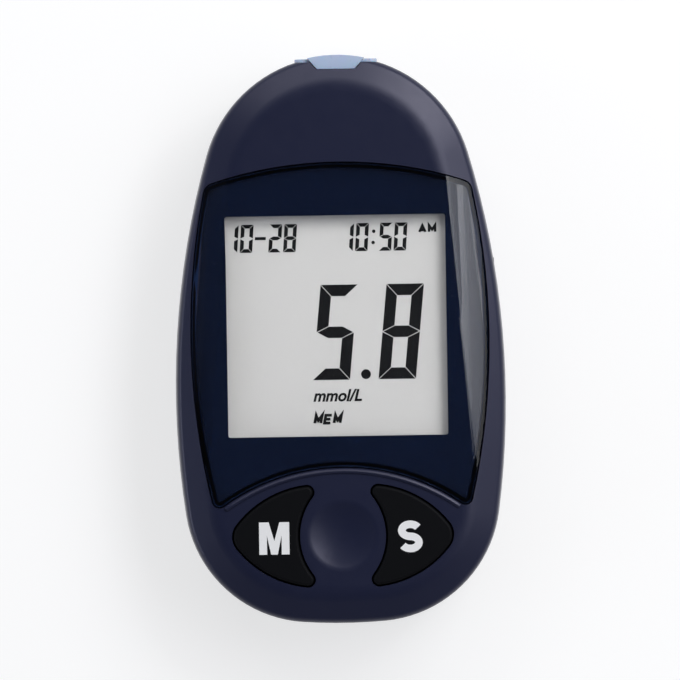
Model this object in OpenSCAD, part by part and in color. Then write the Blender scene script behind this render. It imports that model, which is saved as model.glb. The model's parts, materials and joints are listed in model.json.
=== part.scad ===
// Pocket blood glucose meter, lying on its back: X across, Y towards the strip port, Z out of the display.
// The origin is the middle of the footprint, on the table. All sizes are in millimetres.

/* [Case outline] */
// Length from the strip port's face to the foot of the case
body_l = 109.8; // [106:0.1:112]
// Width at the widest point
body_w = 64; // [62:0.1:66]
// Height of the flat front face above the table
body_t = 21.5; // [21:0.1:23]
// How far the widest point lies below the middle
widest_drop = 10.35; // [8:0.05:12]
// Radius of the long sides
side_r = 166; // [150:1:190]
// How far the domed top would rise past the flat end
dome_rise = 1.7; // [1.2:0.1:2.4]
// Radius of the lower corners
corner_r = 24.5; // [22:0.1:26]
// Radius of the foot
foot_r = 104.5; // [90:0.5:130]

/* [Case section] */
// Height of the seam between the two shells
seam_z = 11; // [10.8:0.1:11.4]
// Thickness of the side walls
wall = 2; // [1.8:0.05:2.2]
// Thickness of the back
floor_t = 1.8; // [1.6:0.05:2.2]
// Thickness of the front face
face_t = 2; // [1.6:0.05:2.3]
// Chamfer on each shell at the seam
seam_chamfer = 0.25; // [0.1:0.05:0.4]
// Draft of the side walls, in degrees
draft = 3.5; // [2:0.1:5]
// Width of the sloping band round the front face
bevel_w = 6; // [5:0.1:7]
// Slope of that band, in degrees
bevel_a = 23; // [18:0.5:26]
// Radius that blends the band into the front face
bevel_blend_r = 8; // [4:0.5:10]
// Radius of the shoulder between band and side wall
shoulder_r = 1.6; // [1:0.1:2]
// Radius of the back edge
back_r = 5; // [4:0.1:5.5]
// Height of the locating lip above the seam
lip_h = 1.2; // [0.8:0.1:1.5]
// Thickness of the locating lip
lip_t = 0.9; // [0.7:0.05:1]

/* [Display lens] */
// Case that shows beside the lens at its widest
lens_margin = 3.55; // [3.2:0.05:4.2]
// How far the lens's widest point lies below the lens's middle
lens_widest_drop = 4; // [2:0.1:5]
// Radius of the lens's long sides
lens_side_r = 138; // [125:1:160]
// Case between the lens's top edge and the flat end
lens_top_margin = 19.5; // [18.6:0.1:20.6]
// Radius of the lens's top edge
lens_top_r = 80; // [70:1:95]
// From the lens's bottom edge to the keys' middle
lens_to_keys = 13.3; // [12.9:0.1:13.6]
// Radius of the arch under the lens
lens_bottom_r = 40; // [38:0.5:44]
// Radius of the lens's top corners
lens_corner_r = 2; // [1:0.1:3]
// Radius of the lens's lower tips
lens_tip_r = 1.2; // [0.8:0.1:1.6]
// Gap between lens and case
lens_gap = 0.3; // [0.15:0.05:0.4]
// Wall round the lens's recess
lens_rim = 1.1; // [1:0.05:1.2]
// Depth of the lens's seat below the front face
lens_seat_drop = 3.45; // [3.2:0.05:3.6]
// Thickness of the lens's window
lens_t = 1.5; // [1.2:0.05:1.7]
// Width of the lens's skirt
lens_skirt = 0.95; // [0.85:0.05:1.3]
// From the lens's widest point in to the facets' inner edges, at the top of the lens
facet_top_w = 8.05; // [7.5:0.05:8.6]
// From the lens's widest point in to the facets' inner edges, at the bottom of the lens
facet_foot_w = 3.15; // [2.5:0.05:3.9]
// Slope of the side facets, in degrees
facet_a = 20; // [16:0.5:22]
// Thickness of the printed mask
mask_t = 0.1; // [0.05:0.05:0.2]
// Thickness of the adhesive under the skirt
tape_t = 0.15; // [0.1:0.05:0.2]
// Radius of the bead along the arch under the lens
bead_r = 0.5; // [0.4:0.05:0.6]

/* [Display] */
// Print beside the clear window, at the lens's widest
mask_side = 7.35; // [7.2:0.05:8.4]
// Print above and below the clear window, together
mask_ends = 15.8; // [15.6:0.1:18]
// Window's middle across the case
window_x = -0.6; // [-0.8:0.1:0]
// How far the window's middle lies below the lens's middle
window_drop = 2.1; // [1.8:0.1:2.3]
// Glass beyond the window on each side
glass_margin = 1.1; // [0.8:0.05:1.2]
// Thickness of one glass plate
glass_t = 1.1; // [0.7:0.05:1.1]
// Thickness of one polarizer film
film_t = 0.15; // [0.1:0.05:0.2]
// Front glass's contact ledge below the rear glass
ledge_h = 2.6; // [2.4:0.05:2.7]
// Depth of the display below the mask
display_drop = 2; // [1.9:0.05:2.1]
// Thickness of the zebra strip
zebra_t = 2; // [1.6:0.05:2]
// Wall of the display holder
holder_wall = 1; // [0.8:0.05:1.1]

/* [Keys] */
// From the foot of the case to the middle of the keys and of the thumb dimple
key_up = 17.35; // [17:0.05:17.6]
// Case that shows beside a key opening's outer end
key_margin = 8.15; // [7.8:0.05:8.6]
// Radius of a key opening's outer end
key_nose_r = 3.8; // [3.2:0.1:4.4]
// Radius of a key opening's long edges
key_arc_r = 20; // [18:0.5:22]
// Half the height of a key opening
key_half_h = 10; // [9.6:0.05:10.2]
// Innermost point of a key opening on its middle
key_inner_x = 8.24; // [8:0.05:8.6]
// Radius of a key opening's inner edge
key_inner_r = 12.1; // [11.5:0.1:13]
// Radius of a key opening's tips
key_tip_r = 1.5; // [1.3:0.05:1.8]
// Gap between key and case
key_gap = 0.35; // [0.2:0.05:0.45]
// How far a key stands above the front face
key_proud = 0.5; // [0.3:0.05:0.8]
// Travel of a key
key_travel = 1; // [0.8:0.05:1.1]
// Width of the flange that keeps a key in
flange_w = 0.8; // [0.6:0.05:0.8]
// Thickness of that flange
flange_t = 1.1; // [0.8:0.05:1.2]
// Running gap above the flange
flange_gap = 0.2; // [0.1:0.05:0.3]
// Radius of a key's plunger
plunger_r = 3.4; // [3:0.05:3.6]
// How far a plunger stands inwards of its key's middle
plunger_shift = 0.95; // [0.5:0.05:1.4]
// Radius of a carbon pill
pill_r = 2.2; // [1.8:0.05:2.6]
// Thickness of a carbon pill
pill_t = 0.6; // [0.4:0.05:0.8]
// Thickness of the keypad mat's web
mat_t = 0.8; // [0.6:0.05:0.8]
// Radius of the thumb dimple's rim
dimple_r = 7.1; // [6.8:0.05:7.2]
// Depth of the thumb dimple
dimple_d = 1.3; // [1:0.05:1.4]

/* [Strip port] */
// Width of the port's face plate
port_plate_w = 15.9; // [15:0.1:17]
// Height of the port's face plate
port_plate_h = 10; // [9:0.1:11]
// Thickness of the port's face plate
port_plate_t = 0.7; // [0.5:0.05:0.9]
// Width of the port at its mouth
port_w = 11; // [10.4:0.1:11.4]
// Width of the port where it meets the front face
port_neck_w = 8.2; // [8:0.1:8.6]
// How far the port's sides stand out of the face plate
port_nose = 0.15; // [0.1:0.05:0.3]
// How far the port's curved edge bulges between them
port_bulge = 0.6; // [0.3:0.05:0.8]
// Depth of the port in the front face, from the end of the case
port_notch = 1.3; // [1:0.05:1.6]
// Depth of the port's top below the front face
port_drop = 2.3; // [2.1:0.05:2.7]
// Width of the strip slot
slot_w = 7.4; // [7:0.05:7.6]
// Height of the strip slot
slot_h = 1.4; // [1:0.05:1.6]

/* [Electronics] */
// Depth of the circuit board's underside below the seam
board_drop = 0.1; // [0:0.05:0.2]
// Thickness of the circuit board
board_t = 1.2; // [1:0.05:1.2]
// Gap between board and case wall
board_gap = 0.7; // [0.5:0.05:0.9]
// Radius of the coin cell
cell_r = 10; // [9.8:0.05:10]
// Thickness of the coin cell
cell_t = 3.2; // [3:0.05:3.3]
// From the keys' middle up to the coin cell's middle
cell_up = 26.2; // [25.8:0.1:26.6]
// Radius of the beeper
beeper_r = 6; // [5:0.1:6.2]
// Thickness of the beeper
beeper_t = 3; // [2.5:0.1:3.5]

/* [Battery door] */
// Width of the battery door
door_w = 28; // [27:0.1:29]
// Length of the battery door from its hinge
door_l = 24.5; // [24:0.1:25]
// Thickness of the battery door
door_t = 1.5; // [1.3:0.05:1.5]
// Gap round the battery door
door_gap = 0.25; // [0.15:0.05:0.35]
// Radius of the door's hinge barrel
barrel_r = 0.95; // [0.9:0.01:1]
// Radius of the door's hinge pins
pin_r = 0.5; // [0.4:0.01:0.55]
// Radial clearance of the hinge
hinge_fit = 0.08; // [0.03:0.01:0.1]

/* [Side ports] */
// How far the side ports lie below the middle between coin cell and board end
port_drop_y = 6.7; // [6:0.1:7]
// Width of the code chip
chip_w = 12; // [11:0.1:12.4]
// Thickness of the code chip
chip_t = 3.4; // [3:0.05:3.5]
// Gap round the code chip
chip_gap = 0.2; // [0.1:0.05:0.25]
// Depth of the code chip's middle below the seam
chip_drop = 2.5; // [2.4:0.05:2.6]
// How deep the code chip reaches into the case
chip_l = 17; // [16:0.1:17.5]
// Radius of the data jack's bore
jack_bore_r = 1.8; // [1.75:0.01:1.85]
// Depth of the data jack's bore
jack_depth = 14; // [13:0.1:14.5]
// Depth of the data jack's axis below the seam
jack_drop = 3.7; // [3.6:0.05:3.8]
// Radius of the jack's nose in the case wall
jack_nose_r = 2.9; // [2.7:0.05:3]

/* [Screws] */
// Radius of a case screw's head
head_r = 1.9; // [1.7:0.05:2]
// Radius of a case screw's shank
shank_r = 0.95; // [0.9:0.01:1]
// Thickness of a case screw's head
head_t = 1.3; // [1.1:0.05:1.5]
// How deep a head sits below the back
head_drop = 1.2; // [0.9:0.05:1.3]

/* [Hidden] */

$fn = 72;
arc_fn = 240;             // for the large round surfaces
facet_sag = 0.015;        // how far an outline's arcs bulge past its flats
cut = 1;                  // how far a cutting tool runs past the face that it opens

navy = [0.12, 0.13, 0.23];
dark_navy = [0.05, 0.08, 0.17];
port_blue = [0.62, 0.70, 0.82];
rubber_black = [0.06, 0.06, 0.07];
board_green = [0.10, 0.36, 0.20];
gold = [0.83, 0.68, 0.30];
steel = [0.72, 0.72, 0.74];
chip_black = [0.10, 0.10, 0.11];
ivory = [0.86, 0.85, 0.80];

function dir(a) = [cos(a), sin(a)];
function flip(p) = [-p[0], p[1]];
// The point at distance ra from a and rb from b, to the left (side = 1) or right (side = -1) of a to b
function meet(a, ra, b, rb, side) =
    let (d = norm(b - a), u = (b - a) / d, t = (d * d + ra * ra - rb * rb) / (2 * d))
    a + t * u + side * sqrt(ra * ra - t * t) * [-u[1], u[0]];

// Arcs of the case's outline: each meets the next without a corner
port_reach = port_plate_t + port_nose + port_bulge;   // of the port beyond the shells
end_y = body_l / 2 - port_reach;                      // flat end of the shells
side_c = [body_w / 2 - side_r, -widest_drop];         // the right side's centre
foot_c = [0, foot_r - body_l / 2];
dome_reach = end_y + dome_rise - side_c[1];           // from the widest point to the dome's top
top_r = (pow(side_r, 2) - pow(side_c[0], 2) - pow(dome_reach, 2)) / (2 * (side_r - dome_reach));
top_c = [0, end_y + dome_rise - top_r];
corner_c = meet(side_c, side_r - corner_r, foot_c, foot_r - corner_r, -1);
function side_at(y) = side_c[0] + sqrt(pow(side_r, 2) - pow(y - side_c[1], 2));

// Front face section: depth and height of the shoulder's sharp corner
wall_foot_z = seam_z + seam_chamfer;
shoulder_d = (body_t - bevel_w * tan(bevel_a) - wall_foot_z) * tan(draft)
    / (1 - tan(bevel_a) * tan(draft));
shoulder_z = body_t - (bevel_w - shoulder_d) * tan(bevel_a);
heel_d = (seam_z - seam_chamfer) * tan(draft);        // how far the back edge's corner lies inside
cavity_step = back_r - 0.8;                           // inset and height of the cavity's stepped foot
ceiling_z = body_t - face_t;
ledge_t = 1.45;                                       // of the ledge that carries the lens
lens_seat_z = body_t - lens_seat_drop;
ledge_z = lens_seat_z - ledge_t;
cavity_inset = bevel_w - 0.7;                         // of the space right under the front face

// Middle of the keys and the thumb dimple
key_y = key_up - body_l / 2;

// Lens
lens_half_w = body_w / 2 - lens_margin;
lens_top_y = end_y - lens_top_margin;
lens_bottom_y = key_y + lens_to_keys;
lens_middle_y = (lens_top_y + lens_bottom_y) / 2;
lens_widest_y = lens_middle_y - lens_widest_drop;
lens_foot_z = lens_seat_z + tape_t;
lens_side_c = [lens_half_w - lens_side_r, lens_widest_y];
lens_top_c = [0, lens_top_y - lens_top_r];
lens_bottom_c = [0, lens_bottom_y - lens_bottom_r];
lens_corner_c = meet(lens_side_c, lens_side_r - lens_corner_r, lens_top_c, lens_top_r - lens_corner_r, 1);
lens_tip_c = meet(lens_side_c, lens_side_r - lens_tip_r, lens_bottom_c, lens_bottom_r + lens_tip_r, 1);
facet_top_y = lens_top_y - 3.3;                       // where the two facet widths are given
facet_foot_y = lens_bottom_y - 1.1;
facet_top_x = lens_half_w - facet_top_w;
facet_foot_x = lens_half_w - facet_foot_w;
facet_turn = atan((facet_foot_x - facet_top_x) / (facet_top_y - facet_foot_y));
tape_inset = 0.15;                                    // tape inside the lens's edges

// Display stack, from the front down
window_w = 2 * (lens_half_w - mask_side);
window_h = lens_top_y - lens_bottom_y - mask_ends;
window_y = lens_middle_y - window_drop;
window_r = 0.4;
display_top_z = body_t - lens_t - mask_t - display_drop;
front_glass_z = display_top_z - film_t - glass_t;
rear_glass_z = front_glass_z - glass_t;
reflector_z = rear_glass_z - film_t;
glass_w = window_w + 2 * glass_margin;
glass_top_y = window_y + window_h / 2 + glass_margin;
rear_glass_foot_y = window_y - window_h / 2 - glass_margin;
front_glass_foot_y = rear_glass_foot_y - ledge_h;
glass_fit = 0.15;
holder_shelf = 2.2;                                   // width of the shelf under the display

// Board
board_z = seam_z - board_drop;
board_top_z = board_z + board_t;
board_end_y = end_y - wall - 1.2;
pad_t = 0.05;
beeper_c = [9, board_end_y - 20.4];
processor_c = [-6, board_end_y - 19.6];
measuring_c = [0, board_end_y - 9.4];
sound_shift = 12;                                     // from the beeper to its sound holes
sound_pitch = 2.2;
sound_r = 0.6;

// Keys, measured from the dimple's middle
key_nose_x = corner_c[0] + sqrt(pow(corner_r, 2) - pow(key_y - corner_c[1], 2)) - key_margin;
plunger_x = (key_nose_x + key_inner_x) / 2 - plunger_shift;
key_drop = key_arc_r - key_half_h;                    // from a key's middle to its long edge's centre
key_nose_c = [key_nose_x - key_nose_r, 0];
key_arc_x = key_nose_c[0] - sqrt(pow(key_arc_r - key_nose_r, 2) - pow(key_drop, 2));
key_upper_c = [key_arc_x, -key_drop];
key_inner_c = [key_inner_x - key_inner_r, 0];
key_tip_c = meet(key_upper_c, key_arc_r - key_tip_r, key_inner_c, key_inner_r + key_tip_r, -1);
key_top_z = body_t + key_proud;
flange_top_z = ceiling_z - flange_gap;
flange_z = flange_top_z - flange_t;
flange_room = 0.2;
pill_z = board_top_z + pad_t + key_travel + 0.1;      // underside of a pill at rest
plunger_z = pill_z + pill_t;
collar_r = plunger_r + 0.25;                          // inside of the mat's collar
collar_wall = 1.2;
mat_l = 16;                                           // of the keypad mat, along the case
collar_top_z = flange_z - key_travel - 0.4;
dimple_sphere_r = (dimple_r * dimple_r + dimple_d * dimple_d) / (2 * dimple_d);

// Strip port
port_fit = 0.12;
port_top_z = body_t - port_drop;
port_plate_z = port_top_z - 1 - port_plate_h;
port_foot_z = seam_z + 0.3;
port_back_y = board_end_y + 0.3;
port_step_z = ceiling_z - 1.6;                        // top of the port's passage through the wall
port_edge_r = (pow(port_w / 2, 2) + pow(port_bulge, 2)) / (2 * port_bulge);
slot_z = board_top_z + 2.1;                           // middle of the strip slot
mouth_h = 3.4;                                        // of the slot's flared mouth
connector_l = 8.8;
connector_w = 12;
connector_h = 3.8;
connector_room = 0.3;
connector_wall = 1;
contact_w = 0.6;
strip_lines = [-2.4, -0.8, 0.8, 2.4];                 // the strip contacts, across

// Battery
cell_y = key_y + cell_up;
cell_gap = 0.35;
cell_z = 0.1 + door_t + 0.15;                         // lower face of the cell
pocket_z = cell_z + cell_t + 0.65;                    // ceiling of the cell's pocket
tower_wall = 1.6;
tower_z = pocket_z + 1.2;
door_z = 0.1;
hinge_y = cell_y + door_l / 2 + 0.3;
hinge_z = door_z + barrel_r;
pin_l = 1.6;
door_r = 2.5;
pad_margin = 1.5;                                     // floor thickening round the door
pad_top_z = hinge_z + barrel_r + 1;

// Side ports
port_y = (cell_y + board_end_y) / 2 - port_drop_y;
chip_z = seam_z - chip_drop;
jack_z = seam_z - jack_drop;
side_x = side_at(port_y);                             // case wall at the ports
chip_end_x = side_x - 0.35;
socket_l = 8;
socket_wall = 0.9;
jack_w = 7.2;
jack_end_x = side_x - 0.2;
jack_house_x = side_at(port_y + jack_w / 2) - wall - 0.2;
jack_fit = 0.1;

// Screws: x, y and the height where the front shell's post ends
post_inset = 6.55;                                    // from a post's axis to the case's outline
post_y = key_y + 10.2;
post_a = 21;                                          // direction of the upper posts from the dome's centre
upper_post = top_c + (top_r - post_inset) * dir(post_a);
posts = [
    [side_at(post_y) - post_inset, post_y, ledge_z + 0.6],
    [upper_post[0], upper_post[1], ceiling_z + 0.3]
];
post_r = 2.8;
column_r = 3;
column_gap = 0.3;                                     // between a column and the board
post_z = seam_z - 0.2;                                // where a post meets its column
screw_fit = 0.1;
screw_tip_z = ledge_z - 0.6;
standoffs = [[side_at(cell_y + 3) - 11, cell_y + 3], [13, board_end_y - 6.4]];
standoff_r = 2;
memory_c = [6 - standoffs[0][0], standoffs[0][1]];
crystal_c = [4, port_y - 2];

// Label
label_w = 34;
label_h = 17;
label_y = end_y - 28.6;
label_t = 0.15;
label_drop = 0.1;
label_r = 1.5;
label_fit = 0.2;

// ---------------------------------------------------------------- shared shapes

module both_sides() {
    children();
    mirror([1, 0, 0]) children();
}

module slab(z0, z1) {
    translate([0, 0, z0]) linear_extrude(z1 - z0) children();
}

// Points on an arc from angle a0 to a1, with flats so short that it bulges past them by facet_sag at most
function arc_points(c, r, a0, a1, nominal_r) =
    let (steps = max(2, ceil(abs(a1 - a0) / (2 * acos(1 - facet_sag / nominal_r)))))
    [for (i = [0:steps]) c + r * dir(a0 + (a1 - a0) * i / steps)];
function without_last(points) = [for (i = [0:len(points) - 2]) points[i]];
function angle_to(a, b) = atan2(b[1] - a[1], b[0] - a[0]);

module rounded_rect(w, h, r) {
    x = w / 2 - r;
    y = h / 2 - r;
    corners = [[x, y], [-x, y], [-x, -y], [x, -y]];
    polygon([for (i = [0:3]) each arc_points(corners[i], r, 90 * i, 90 * i + 90, r)]);
}

// The outline's arcs, each as [centre, radius, first angle, last angle], anticlockwise from the right side
side_a0 = angle_to(side_c, corner_c);
side_a1 = angle_to(side_c, top_c);
foot_a = angle_to(foot_c, corner_c);
outline_arcs = [
    [side_c, side_r, side_a0, side_a1],
    [top_c, top_r, side_a1, 180 - side_a1],
    [flip(side_c), side_r, 180 - side_a1, 180 - side_a0],
    [flip(corner_c), corner_r, 180 - side_a0, 180 - foot_a],
    [foot_c, foot_r, -180 - foot_a, foot_a],
    [corner_c, corner_r, foot_a, side_a0]
];

// The outline's points, moved inwards by inset: each arc ends where the next one begins
function outline_points(inset) = [
    for (arc = outline_arcs) each without_last(arc_points(arc[0], arc[1] - inset, arc[2], arc[3], arc[1]))
];

module outline(inset = 0) {
    polygon(outline_points(inset));
}

module below_end(y) {
    intersection() {
        children();
        translate([-body_w, y - 2 * body_l]) square([2 * body_w, 2 * body_l]);
    }
}

// Points that round the corner p of two straight edges, which leave it in directions a1 and a2
function softened(p, a1, a2, r, steps) =
    let (half = (a2 - a1) / 2, f = p + r / sin(half) * dir((a1 + a2) / 2))
    [for (i = [0:steps]) f + r * dir(a2 - 270 + (180 - a2 + a1) * i / steps)];

// Rim sections as points of [minus the inset, height], from the lowest to the highest
front_rim = concat(
    [[-seam_chamfer, seam_z], [0, wall_foot_z]],
    softened([-shoulder_d, shoulder_z], 180 - bevel_a, 270 + draft, shoulder_r, 6),
    softened([-bevel_w, body_t], 180, 360 - bevel_a, bevel_blend_r, 4)
);
rear_rim = concat(
    softened([-heel_d, 0], 90 - draft, 180, back_r, 8),
    [[0, seam_z - seam_chamfer], [-seam_chamfer, seam_z]]
);

// A solid with a rim section carried all the way round the outline
module rimmed(rim) {
    n = len(outline_points(0));
    top = n * (len(rim) - 1);
    polyhedron(
        points = [for (p = rim) each [for (q = outline_points(-p[0])) [q[0], q[1], p[1]]]],
        faces = concat(
            [[for (i = [0:n - 1]) i]],
            [for (k = [0:len(rim) - 2], i = [0:n - 1])
                [k * n + (i + 1) % n, k * n + i, (k + 1) * n + i, (k + 1) * n + (i + 1) % n]],
            [[for (i = [n - 1:-1:0]) top + i]]
        )
    );
}

// A solid half of the case, with its flat end
module case_half(rim) {
    intersection() {
        rimmed(rim);
        translate([-body_w, end_y - 2 * body_l, -cut]) cube([2 * body_w, 2 * body_l, body_t + 2 * cut]);
    }
}

// The right half of the lens's outline, moved inwards by inset, from the foot to the top
function lens_half(inset) =
    let (
        side = lens_side_r - inset, top = lens_top_r - inset, arch = lens_bottom_r + inset,
        tip = lens_tip_r - inset, corner = lens_corner_r - inset,
        tip_c = tip > 0 ? lens_tip_c : meet(lens_side_c, side, lens_bottom_c, arch, 1),
        corner_c = corner > 0 ? lens_corner_c : meet(lens_side_c, side, lens_top_c, top, 1),
        arch_a = angle_to(lens_bottom_c, tip_c), side_a = angle_to(lens_side_c, tip_c),
        side_end_a = angle_to(lens_side_c, corner_c), top_a = angle_to(lens_top_c, corner_c)
    )
    concat(
        without_last(arc_points(lens_bottom_c, arch, 90, arch_a, lens_bottom_r)),
        tip > 0 ? without_last(arc_points(tip_c, tip, arch_a + 180, side_a + 360, tip)) : [],
        without_last(arc_points(lens_side_c, side, side_a, side_end_a, lens_side_r)),
        corner > 0 ? without_last(arc_points(corner_c, corner, side_end_a, top_a, corner)) : [],
        arc_points(lens_top_c, top, top_a, 90, lens_top_r)
    );

// Points on the right, and the same again on the left between the first and the last
function both_halves(half) =
    concat(half, [for (i = [len(half) - 2:-1:1]) flip(half[i])]);

module lens_outline(inset = 0) {
    polygon(both_halves(lens_half(inset)));
}

// What the two side facets take off, lowered by drop
module facet_cuts(drop = 0) {
    both_sides()
        translate([facet_top_x, facet_top_y, body_t - drop])
            rotate([0, 0, facet_turn])
                rotate([0, facet_a, 0])
                    translate([0, -1.5 * body_l, 0]) cube([body_w, 2 * body_l, body_t]);
}

// The hollow under the lens, which the printed mask lines
module lens_hollow(inset = lens_skirt) {
    difference() {
        slab(lens_foot_z - cut, body_t - lens_t) lens_outline(inset);
        facet_cuts(lens_t);
    }
}

module window_2d() {
    translate([window_x, window_y]) rounded_rect(window_w, window_h, window_r);
}

// The right key's outline above its middle line, made smaller all round by gap, from the nose inwards
function key_half(gap) =
    let (
        nose_a = angle_to(key_upper_c, key_nose_c), tip_a = angle_to(key_upper_c, key_tip_c),
        inner_a = angle_to(key_inner_c, key_tip_c)
    )
    concat(
        without_last(arc_points(key_nose_c, key_nose_r - gap, 0, nose_a, key_nose_r)),
        without_last(arc_points(key_upper_c, key_arc_r - gap, nose_a, tip_a, key_arc_r)),
        without_last(arc_points(key_tip_c, key_tip_r - gap, tip_a, inner_a + 180, key_tip_r)),
        arc_points(key_inner_c, key_inner_r + gap, inner_a, 0, key_inner_r)
    );

module key_2d(gap) {
    half = key_half(gap);
    translate([0, key_y])
        polygon(concat(half, [for (i = [len(half) - 2:-1:1]) [half[i][0], -half[i][1]]]));
}

// The strip port's solid, made larger all round by gap: what shows in the front face, and the passage
module port_block(gap, top) {
    mouth = port_w / 2 + gap;
    neck = port_neck_w / 2 + gap;
    inner_y = end_y - port_notch - gap;
    edge_a = asin(port_w / 2 / port_edge_r);
    slab(port_foot_z - gap, top)
        polygon(concat(
            arc_points([0, body_l / 2 - port_edge_r], port_edge_r, 90 - edge_a, 90 + edge_a, port_edge_r),
            [[-mouth, body_l / 2 - port_bulge], [-neck, inner_y + 0.5], [-neck + 0.5, inner_y]],
            [[neck - 0.5, inner_y], [neck, inner_y + 0.5], [mouth, body_l / 2 - port_bulge]]
        ));
    slab(port_foot_z - gap, port_step_z + gap)
        translate([-neck, port_back_y - gap]) square([2 * neck, end_y - port_back_y + gap]);
}

// The opening under the port, between the two shells
module port_foot_2d() {
    w = port_w + 2 * port_fit;
    translate([-w / 2, port_back_y - port_fit]) square([w, end_y - port_back_y + cut]);
}

module at_posts() {
    both_sides()
        for (p = posts) translate([p[0], p[1], 0]) children();
}

// ---------------------------------------------------------------- case

module front_shell() {
    color(navy) {
        difference() {
            union() {
                difference() {
                    case_half(front_rim);
                    slab(seam_z - cut, ledge_z) below_end(end_y - wall) outline(wall);
                    slab(ledge_z - 0.01, ceiling_z) below_end(end_y - wall) difference() {
                        outline(cavity_inset);
                        lens_outline(-lens_gap - lens_rim);
                    }
                    slab(seam_z - cut, seam_z + lip_h + 0.2) below_end(end_y - wall + lip_t + 0.1)
                        outline(wall - lip_t - 0.1);
                }
                translate([0, key_y, ceiling_z - dimple_d])
                    cylinder(r = dimple_r - 1.4, h = dimple_d + 0.3);
                for (p = posts)
                    both_sides() translate([p[0], p[1], post_z]) cylinder(r = post_r, h = p[2] - post_z);
                bead();
            }
            slab(lens_seat_z, body_t + cut) lens_outline(-lens_gap);
            slab(ledge_z - cut, body_t) display_opening();
            slab(ceiling_z - cut, body_t + cut) both_sides() key_2d(0);
            // room for the keys' flanges and the strip connector
            slab(collar_top_z, ceiling_z) both_sides() key_2d(-flange_w - flange_room);
            slab(seam_z - cut, board_top_z + connector_h + connector_room)
                translate([-connector_w / 2 - connector_room, board_end_y - connector_l - connector_room])
                    square([connector_w + 2 * connector_room, connector_l + 2 * connector_room]);
            translate([0, key_y, body_t + dimple_sphere_r - dimple_d])
                sphere(r = dimple_sphere_r, $fn = arc_fn);
            port_block(port_fit, body_t + cut);
            slab(seam_z - cut, port_foot_z) port_foot_2d();
            for (p = posts)
                both_sides() translate([p[0], p[1], post_z - cut])
                    cylinder(r = shank_r + 0.04, h = screw_tip_z + 0.4 - post_z + cut);
        }
    }
}

module bead() {
    ring_r = lens_bottom_r - lens_gap - bead_r - 0.1;
    bead_a = 35;
    translate(concat(lens_bottom_c, [body_t - 0.1])) rotate([0, 0, 90 - bead_a])
        rotate_extrude(angle = 2 * bead_a, $fn = arc_fn)
            polygon([for (a = [0:45:180]) [ring_r, 0] + bead_r * dir(a)]);
}

module display_opening() {
    translate([window_x - glass_w / 2 - glass_fit, front_glass_foot_y - glass_fit])
        square([glass_w + 2 * glass_fit, glass_top_y - front_glass_foot_y + 2 * glass_fit]);
}

module rear_shell() {
    color(navy) {
        difference() {
            union() {
                difference() {
                    case_half(rear_rim);
                    slab(floor_t, cavity_step) below_end(end_y - wall) outline(cavity_step);
                    slab(cavity_step - 0.01, seam_z + cut) below_end(end_y - wall) outline(wall);
                }
                slab(seam_z - 1.5, seam_z + lip_h) difference() {
                    below_end(end_y - wall + lip_t) outline(wall - lip_t);
                    below_end(end_y - wall) outline(wall);
                }
                at_posts() cylinder_from(column_r, floor_t / 2, post_z);
                both_sides() for (s = standoffs)
                    translate([s[0], s[1], 0]) cylinder_from(standoff_r, floor_t, board_z);
                battery_bay();
            }
            at_posts() {
                cylinder_from(head_r + screw_fit + 0.1, -cut, head_drop + head_t);
                cylinder_from(shank_r + screw_fit, 0, seam_z + cut);
            }
            battery_cuts();
            side_port_cuts();
            slab(seam_z, seam_z + 2 * lip_h) port_foot_2d();
            slab(-cut, label_drop + label_t) translate([0, label_y])
                rounded_rect(label_w + 2 * label_fit, label_h + 2 * label_fit, label_r + label_fit);
            for (i = [-1:1]) translate([beeper_c[0] + sound_pitch * i, beeper_c[1] + sound_shift, 0])
                cylinder_from(sound_r, -cut, floor_t + cut, 32);
        }
    }
}

module cylinder_from(r, z0, z1, facets = 72) {
    translate([0, 0, z0]) cylinder(r = r, h = z1 - z0, $fn = facets);
}

module door_plan(gap = 0) {
    translate([0, hinge_y - door_l / 2]) rounded_rect(door_w + 2 * gap, door_l + 2 * gap, door_r + gap);
}

module battery_bay() {
    slab(floor_t / 2, pad_top_z) door_plan(door_gap + pad_margin + pin_l);
    translate([0, cell_y, 0]) cylinder_from(cell_r + cell_gap + tower_wall, floor_t, tower_z);
}

module battery_cuts() {
    slab(-cut, door_z + door_t + 0.1) intersection() {
        door_plan(door_gap);
        translate([-body_w / 2, hinge_y - body_l]) square([body_w, body_l]);
    }
    translate([0, hinge_y, hinge_z]) rotate([0, 90, 0]) {
        cylinder(r = barrel_r + hinge_fit, h = door_w + 2 * door_gap, center = true);
        cylinder(r = pin_r + hinge_fit, h = door_w + 4 * door_gap + 2 * pin_l, center = true);
    }
    translate([-door_w / 2 - door_gap, hinge_y - barrel_r - hinge_fit, -cut])
        cube([door_w + 2 * door_gap, 2 * (barrel_r + hinge_fit), hinge_z + cut]);
    translate([0, cell_y, 0]) cylinder_from(cell_r + cell_gap, -cut, pocket_z);
    // windows for the two contacts
    translate([-8.4, cell_y - 2.8, pocket_z - cut]) cube([11, 5.6, tower_z - pocket_z + 2 * cut]);
    translate([cell_r - 0.2, cell_y - 2.8, cell_z]) cube([1.3, 5.6, tower_z]);
}

module side_port_cuts() {
    translate([-body_w, port_y - chip_w / 2 - chip_gap, chip_z - chip_t / 2 - chip_gap])
        cube([body_w / 2 + 6, chip_w + 2 * chip_gap, chip_t + 2 * chip_gap]);
    translate([side_x - 2 * wall, port_y, jack_z]) rotate([0, 90, 0])
        cylinder(r = jack_nose_r + jack_fit, h = 3 * wall);
}

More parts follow.
